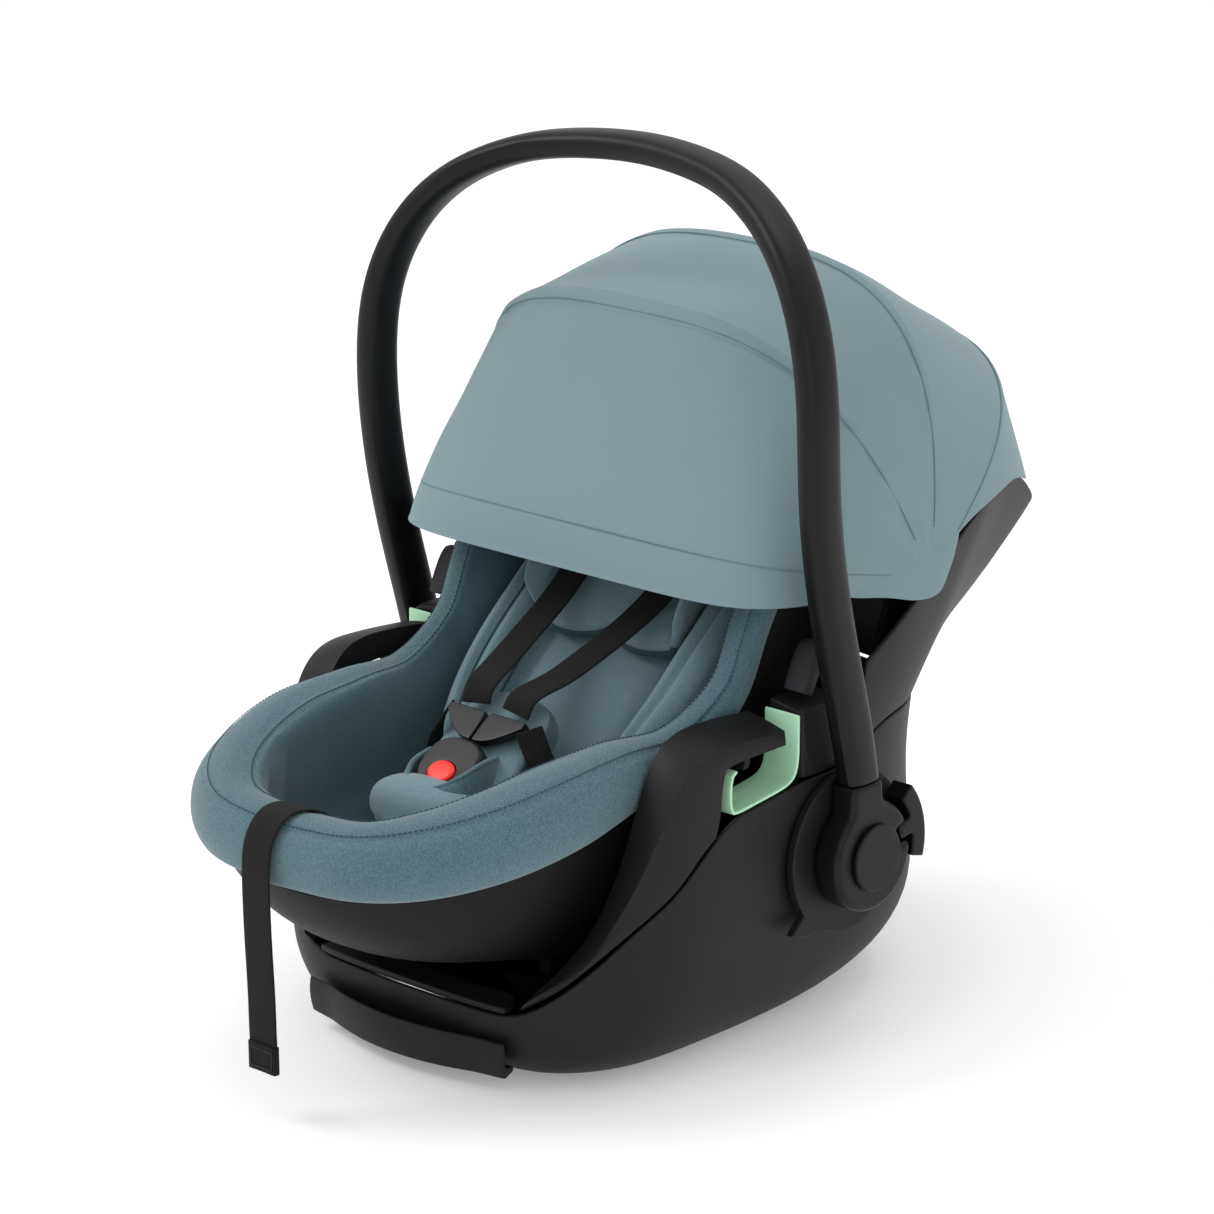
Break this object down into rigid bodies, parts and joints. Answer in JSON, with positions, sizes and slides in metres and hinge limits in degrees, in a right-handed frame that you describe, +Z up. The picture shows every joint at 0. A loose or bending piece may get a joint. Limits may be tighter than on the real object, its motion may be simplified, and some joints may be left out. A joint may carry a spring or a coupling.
{
  "type": "infant car seat",
  "caption": "Rear-facing infant car seat with reclining padded bucket, harness with a red-button buckle, folding fabric canopy and a rotating carry handle.",
  "frame": {"origin": "centre of the plan of the whole seat, on the ground under the resting face", "axes": "+Z up, -Y towards the child's feet, +Y towards the child's head, +X to the seat's left-hand side seen by the child"},
  "size_m": [0.44, 0.6733, 0.6108],
  "materials": {
    "hull_plastic": "fine matte grain",
    "handle_plastic": "satin",
    "cap_plastic": "satin",
    "shell_plastic": "matte",
    "guide_plastic": "satin",
    "lever_rubber": "soft touch",
    "cover_fabric": "melange weave, padded",
    "insert_fabric": "soft jersey, padded",
    "headrest_fabric": "soft jersey, padded",
    "canopy_fabric": "smooth light cloth",
    "bow_plastic": "satin",
    "buckle_plastic": "satin",
    "button_red": "satin",
    "webbing": "woven webbing",
    "steel": "brushed"
  },
  "bodies": {
    "base": {"base_shell": "hull_plastic", "front_rim": "hull_plastic", "front_lip": "hull_plastic", "back_shell": "hull_plastic", "side_band_right": "hull_plastic", "side_band_left": "hull_plastic", "belt_guide_right": "guide_plastic", "belt_guide_left": "guide_plastic", "belt_tab_right": "hull_plastic", "belt_tab_left": "hull_plastic", "guide_post_right": "hull_plastic", "guide_post_left": "hull_plastic", "hub_ring_right": "hull_plastic", "hub_ring_left": "hull_plastic", "handle_axle_right": "steel", "handle_axle_left": "steel", "recline_rail_right": "hull_plastic", "recline_rail_left": "hull_plastic", "front_bar": "steel", "rear_bar": "steel", "canopy_bracket_right": "hull_plastic", "canopy_bracket_left": "hull_plastic", "canopy_rear_panel": "canopy_fabric"},
    "seat": {"seat_shell": "shell_plastic", "seat_cover": "cover_fabric", "newborn_insert": "insert_fabric", "buckle_housing": "buckle_plastic", "tongue_right": "buckle_plastic", "tongue_left": "buckle_plastic", "crotch_pad": "insert_fabric", "shoulder_strap_right": "webbing", "shoulder_strap_left": "webbing", "lap_strap_right": "webbing", "lap_strap_left": "webbing", "harness_adjuster": "buckle_plastic", "adjuster_strap": "webbing", "strap_end": "webbing", "recline_runner_right": "hull_plastic", "recline_runner_left": "hull_plastic"},
    "headrest": {"headrest_plate": "hull_plastic", "headrest_pad": "headrest_fabric"},
    "handle": {"handle_arch": "handle_plastic", "handle_hub_right": "handle_plastic", "handle_hub_left": "handle_plastic", "hub_cap_right": "cap_plastic", "hub_cap_left": "cap_plastic"},
    "button_right": {"handle_button_right": "handle_plastic"},
    "button_left": {"handle_button_left": "handle_plastic"},
    "lever_right": {"release_lever_right": "lever_rubber"},
    "lever_left": {"release_lever_left": "lever_rubber"},
    "buckle_release": {"buckle_button": "button_red"},
    "canopy_rear": {"canopy_bow_rear": "bow_plastic"},
    "canopy_middle": {"canopy_bow_middle": "bow_plastic", "canopy_middle_panel": "canopy_fabric"},
    "canopy_front": {"canopy_bow_front": "bow_plastic", "canopy_front_panel": "canopy_fabric"}
  },
  "joints": [
    {"name": "seat_recline", "type": "hinge", "parent": "base", "child": "seat", "pos_m": [0, -0.0184, 0.46], "axis": [-1, 0, 0], "range_deg": [0, 12]},
    {"name": "headrest_slide", "type": "slide", "parent": "seat", "child": "headrest", "axis": [0, 0.757, 0.6534], "range_m": [0, 0.07]},
    {"name": "handle_turn", "type": "hinge", "parent": "base", "child": "handle", "pos_m": [0, 0.0366, 0.138], "axis": [-1, 0, 0], "range_deg": [0, 100]},
    {"name": "handle_button_right_press", "type": "slide", "parent": "handle", "child": "button_right", "axis": [0, -0.9703, -0.2419], "range_m": [0, 0.0055], "stiffness_N_per_m": 900, "springref_m": -0.002},
    {"name": "handle_button_left_press", "type": "slide", "parent": "handle", "child": "button_left", "axis": [0, -0.9703, -0.2419], "range_m": [0, 0.0055], "stiffness_N_per_m": 900, "springref_m": -0.002},
    {"name": "release_lever_right_pull", "type": "slide", "parent": "base", "child": "lever_right", "axis": [0, 0.4202, 0.9074], "range_m": [0, 0.008], "stiffness_N_per_m": 700, "springref_m": -0.002},
    {"name": "release_lever_left_pull", "type": "slide", "parent": "base", "child": "lever_left", "axis": [0, 0.4202, 0.9074], "range_m": [0, 0.008], "stiffness_N_per_m": 700, "springref_m": -0.002},
    {"name": "buckle_press", "type": "slide", "parent": "seat", "child": "buckle_release", "axis": [0, 0.6157, -0.788], "range_m": [0, 0.0032], "stiffness_N_per_m": 2500, "springref_m": -0.001},
    {"name": "canopy_rear_fold", "type": "hinge", "parent": "base", "child": "canopy_rear", "pos_m": [0, 0.1326, 0.311], "axis": [-1, 0, 0], "range_deg": [0, 35], "deforming": ["canopy_rear_panel", "canopy_middle_panel", "canopy_front_panel"]},
    {"name": "canopy_middle_fold", "type": "hinge", "parent": "canopy_rear", "child": "canopy_middle", "pos_m": [0, 0.1326, 0.311], "axis": [-1, 0, 0], "range_deg": [0, 27], "deforming": ["canopy_middle_panel"]},
    {"name": "canopy_front_fold", "type": "hinge", "parent": "canopy_middle", "child": "canopy_front", "pos_m": [0, 0.1326, 0.311], "axis": [-1, 0, 0], "range_deg": [0, 50], "deforming": ["canopy_front_panel"]}
  ],
  "couplings": [
    {"joint": "canopy_middle_fold", "follows": "canopy_rear_fold", "ratio": 0.7714},
    {"joint": "canopy_front_fold", "follows": "canopy_rear_fold", "ratio": 1.4286}
  ]
}
